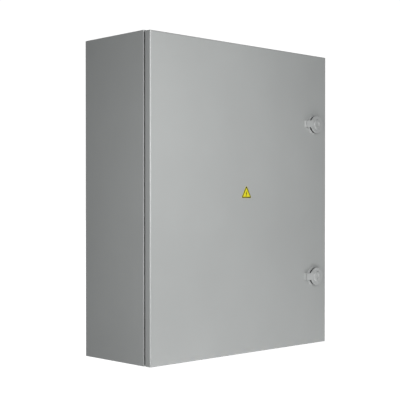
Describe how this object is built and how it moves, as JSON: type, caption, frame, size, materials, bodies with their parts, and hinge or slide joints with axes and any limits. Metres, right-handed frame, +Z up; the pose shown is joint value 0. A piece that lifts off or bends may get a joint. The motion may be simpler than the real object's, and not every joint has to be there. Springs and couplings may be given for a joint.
{
  "type": "automatic transfer switch",
  "caption": "Wall-mounted steel cabinet with a hinged, locked door over a motor-driven two-source changeover switch, its breakers and controller.",
  "frame": {"origin": "middle of the back face, in the wall plane, at the centre of the four wall holes", "axes": "+Z up, +Y out of the back into the wall, -Y out of the door, +X to the lock side"},
  "size_m": [0.65, 0.2635, 0.8],
  "materials": {
    "grey_paint": "fine orange-peel powder coat, satin",
    "zinc": "bright zinc plate",
    "copper": "bare copper, satin",
    "rubber": "soft black rubber",
    "grey_plastic": "moulded light grey plastic",
    "light_plastic": "moulded off-white plastic",
    "dark_plastic": "moulded dark plastic",
    "white_plastic": "moulded white plastic",
    "red_plastic": "moulded red plastic",
    "green_plastic": "moulded green plastic",
    "duct_plastic": "extruded light grey plastic",
    "sign_yellow": "printed adhesive film",
    "earth_wire": "green and yellow insulation",
    "blue_wire": "blue insulation",
    "screen": "clear display window"
  },
  "bodies": {
    "cabinet": {"cabinet_shell": "grey_paint", "gland_plate": "zinc", "gland_plate_screws": "zinc", "cable_grommets": "rubber", "welded_studs": "zinc", "stud_nuts": "zinc", "mounting_plate": "zinc", "door_bond_wire": "earth_wire", "hinge_cabinet_leaves": "zinc", "hinge_pins": "zinc", "source_breaker_1": "dark_plastic", "source_breaker_2": "dark_plastic", "breaker_terminals": "copper", "terminal_bolts": "zinc", "changeover_base": "light_plastic", "changeover_cover": "light_plastic", "fixed_contacts": "copper", "source_1_links": "copper", "source_2_links": "copper", "drive_motor": "zinc", "drive_housing": "dark_plastic", "din_rail": "zinc", "control_breaker": "light_plastic", "controller_case": "dark_plastic", "controller_screen": "screen", "terminal_blocks": "light_plastic", "neutral_bar": "copper", "earth_bar": "copper", "bar_supports": "red_plastic", "wire_ducts": "duct_plastic", "duct_covers": "duct_plastic", "control_wires": "blue_wire"},
    "door": {"door_panel": "grey_paint", "door_gasket": "rubber", "door_stiffeners": "zinc", "door_earth_stud": "zinc", "warning_sign": "sign_yellow", "hinge_door_leaves": "zinc", "lock_housing_upper": "grey_plastic", "lock_housing_lower": "grey_plastic", "lock_nuts": "zinc"},
    "lock_upper": {"lock_barrel_upper": "zinc", "lock_cam_upper": "zinc", "cam_bolt_upper": "zinc"},
    "lock_lower": {"lock_barrel_lower": "zinc", "lock_cam_lower": "zinc", "cam_bolt_lower": "zinc"},
    "dust_flap_upper": {"dust_cover_upper": "grey_plastic"},
    "dust_flap_lower": {"dust_cover_lower": "grey_plastic"},
    "toggle_1": {"breaker_toggle_1": "white_plastic"},
    "toggle_2": {"breaker_toggle_2": "white_plastic"},
    "small_toggle": {"control_toggle": "dark_plastic"},
    "rotor": {"changeover_shaft": "zinc", "rotor_blades": "copper", "shaft_gear": "zinc", "position_drum": "red_plastic", "manual_lever": "dark_plastic"},
    "pinion": {"motor_pinion": "zinc"},
    "auto_key": {"button_auto": "green_plastic"},
    "test_key": {"button_test": "green_plastic"}
  },
  "joints": [
    {"name": "door_hinge", "type": "hinge", "parent": "cabinet", "child": "door", "pos_m": [-0.318, -0.238, 0], "axis": [0, 0, -1], "range_deg": [0, 110], "deforming": ["door_bond_wire"]},
    {"name": "lock_upper_turn", "type": "hinge", "parent": "door", "child": "lock_upper", "pos_m": [0.275, -0.24, 0.20675], "axis": [0, -1, 0], "range_deg": [0, 90]},
    {"name": "lock_lower_turn", "type": "hinge", "parent": "door", "child": "lock_lower", "pos_m": [0.275, -0.24, -0.21325], "axis": [0, -1, 0], "range_deg": [0, 90]},
    {"name": "dust_cover_upper_swing", "type": "hinge", "parent": "door", "child": "dust_flap_upper", "pos_m": [0.25855, -0.26, 0.21625], "axis": [0, 1, 0], "range_deg": [-105, 105]},
    {"name": "dust_cover_lower_swing", "type": "hinge", "parent": "door", "child": "dust_flap_lower", "pos_m": [0.25855, -0.26, -0.20375], "axis": [0, 1, 0], "range_deg": [-105, 105]},
    {"name": "breaker_1_toggle", "type": "hinge", "parent": "cabinet", "child": "toggle_1", "pos_m": [-0.125, -0.084, 0.242], "axis": [-1, 0, 0], "range_deg": [0, 36]},
    {"name": "breaker_2_toggle", "type": "hinge", "parent": "cabinet", "child": "toggle_2", "pos_m": [0.125, -0.084, 0.242], "axis": [-1, 0, 0], "range_deg": [0, 36]},
    {"name": "control_breaker_toggle", "type": "hinge", "parent": "cabinet", "child": "small_toggle", "pos_m": [-0.177, -0.085, -0.17], "axis": [-1, 0, 0], "range_deg": [0, 40]},
    {"name": "changeover_turn", "type": "hinge", "parent": "cabinet", "child": "rotor", "pos_m": [0, -0.09, 0], "axis": [1, 0, 0], "range_deg": [-45, 45]},
    {"name": "pinion_turn", "type": "hinge", "parent": "cabinet", "child": "pinion", "pos_m": [0, -0.0663, -0.03145], "axis": [1, 0, 0], "range_deg": [-112.5, 112.5]},
    {"name": "auto_button_press", "type": "slide", "parent": "cabinet", "child": "auto_key", "axis": [0, 1, 0], "range_m": [0, 0.0015], "stiffness_N_per_m": 250},
    {"name": "test_button_press", "type": "slide", "parent": "cabinet", "child": "test_key", "axis": [0, 1, 0], "range_m": [0, 0.0015], "stiffness_N_per_m": 250}
  ],
  "couplings": [
    {"joint": "pinion_turn", "follows": "changeover_turn", "ratio": -2.5}
  ]
}
